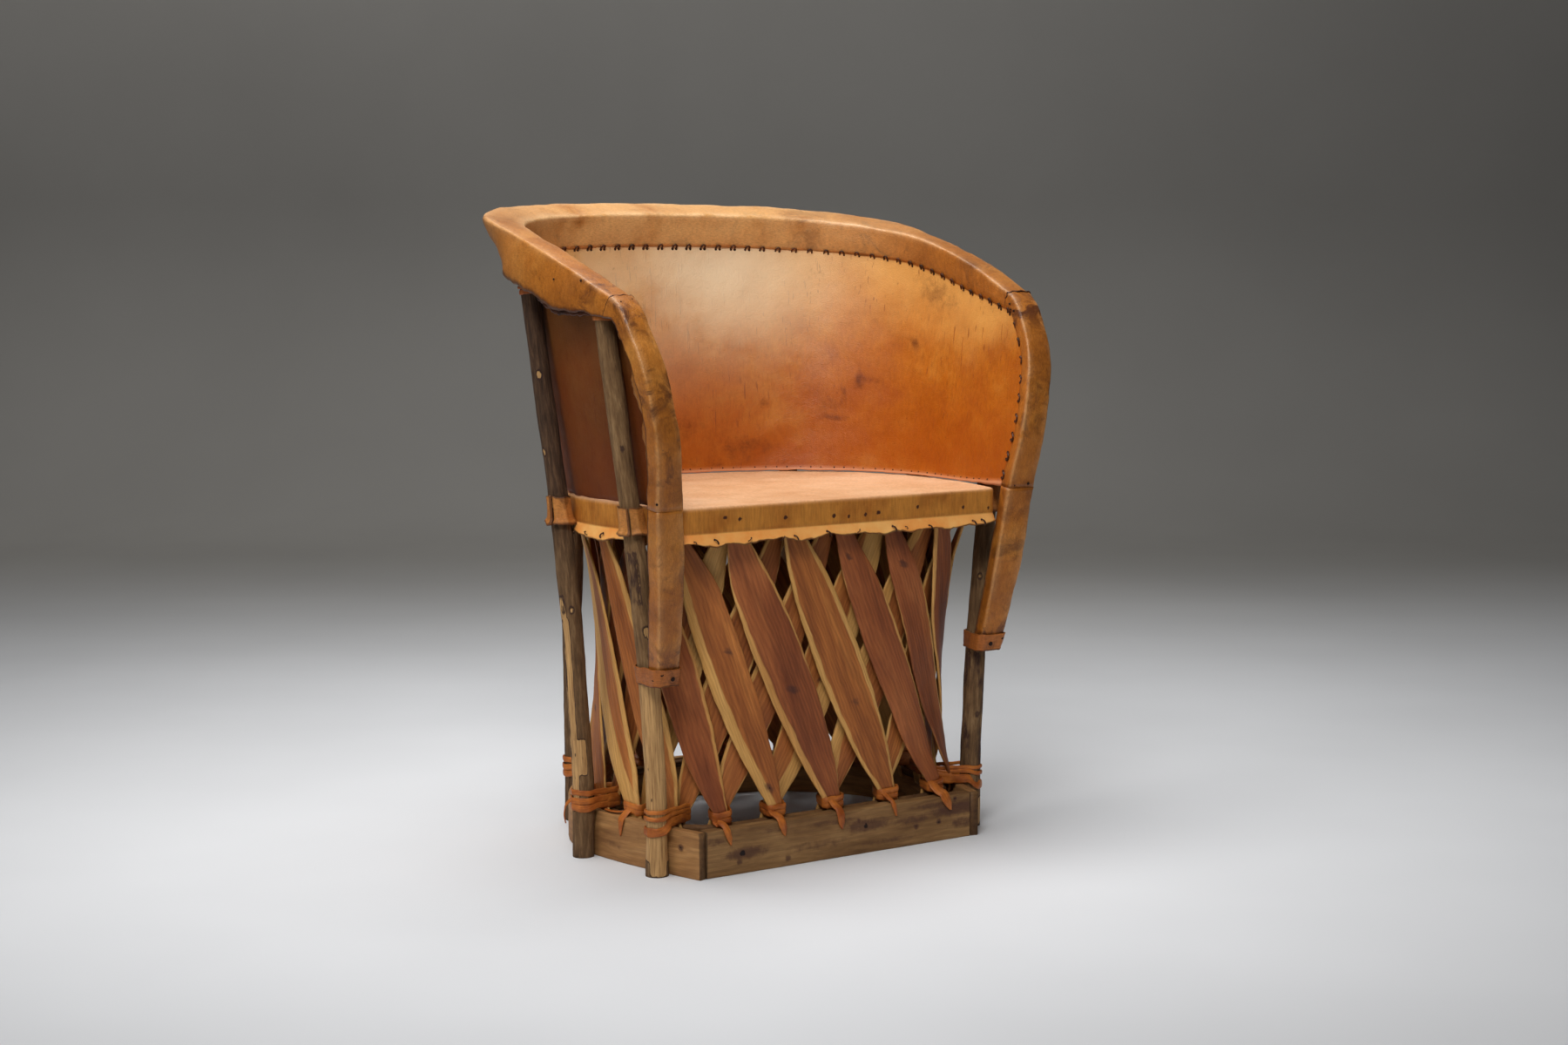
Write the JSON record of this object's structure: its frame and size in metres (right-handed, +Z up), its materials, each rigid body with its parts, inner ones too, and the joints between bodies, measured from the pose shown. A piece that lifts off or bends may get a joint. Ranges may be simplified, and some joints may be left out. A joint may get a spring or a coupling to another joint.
{
  "type": "equipale chair",
  "caption": "Leather barrel armchair with a wrapped horseshoe rim, standing on a drum of crossed wooden slats tied with thong.",
  "frame": {"origin": "on the floor, under the middle of the chair's overall width and depth", "axes": "+Z up; the seat faces -Y; +X towards the sitter's left"},
  "size_m": [0.6632, 0.4948, 0.8155],
  "materials": {
    "back_leather": "honey tan hide, polished by use, mottled stains and fine scratches",
    "rim_leather": "yellow-olive tan hide with darkened edges and glossy ridges",
    "seat_leather": "pale pinkish tan hide, dull, with an olive-brown edge",
    "thong_leather": "orange-brown rawhide thong, twisted and stiff",
    "pole_bark": "grey-brown bark, peeled pale in patches",
    "base_board": "pale tan-grey bent board with knots and dirty edges",
    "hoop_wood": "plain brown bent wood",
    "slat_heartwood": "split red-brown heartwood with yellow sapwood edges",
    "slat_sapwood": "split yellow sapwood with red-brown streaks"
  },
  "bodies": {
    "root": {"back_leather": "back_leather", "base_front_board": "base_board", "base_side_hoop": "base_board", "base_thong_left": "thong_leather", "base_thong_right": "thong_leather", "inner_slat_01": "slat_sapwood", "inner_slat_02": "slat_heartwood", "inner_slat_03": "slat_sapwood", "inner_slat_04": "slat_heartwood", "inner_slat_05": "slat_sapwood", "inner_slat_06": "slat_heartwood", "inner_slat_07": "slat_sapwood", "inner_slat_08": "slat_heartwood", "inner_slat_09": "slat_sapwood", "inner_slat_10": "slat_heartwood", "inner_slat_11": "slat_sapwood", "inner_slat_12": "slat_heartwood", "inner_slat_13": "slat_sapwood", "inner_slat_14": "slat_heartwood", "inner_slat_15": "slat_sapwood", "inner_slat_16": "slat_heartwood", "inner_slat_17": "slat_sapwood", "lower_ring": "hoop_wood", "outer_slat_01": "slat_sapwood", "outer_slat_02": "slat_heartwood", "outer_slat_03": "slat_sapwood", "outer_slat_04": "slat_heartwood", "outer_slat_05": "slat_sapwood", "outer_slat_06": "slat_heartwood", "outer_slat_07": "slat_sapwood", "outer_slat_08": "slat_heartwood", "outer_slat_09": "slat_sapwood", "outer_slat_10": "slat_heartwood", "outer_slat_11": "slat_sapwood", "outer_slat_12": "slat_heartwood", "outer_slat_13": "slat_sapwood", "outer_slat_14": "slat_heartwood", "outer_slat_15": "slat_sapwood", "outer_slat_16": "slat_heartwood", "outer_slat_17": "slat_sapwood", "pole_back_left": "pole_bark", "pole_back_right": "pole_bark", "pole_front_left": "pole_bark", "pole_front_right": "pole_bark", "pole_side_left": "pole_bark", "pole_side_right": "pole_bark", "post_sleeve_left": "rim_leather", "post_sleeve_right": "rim_leather", "rim_hoop": "hoop_wood", "rim_leather": "rim_leather", "seat_collar_front_left": "seat_leather", "seat_collar_front_right": "seat_leather", "seat_collar_side_left": "seat_leather", "seat_collar_side_right": "seat_leather", "seat_hoop": "hoop_wood", "seat_leather": "seat_leather", "tip_collar_left": "thong_leather", "tip_collar_right": "thong_leather", "upper_ring": "hoop_wood"}
  },
  "joints": []
}
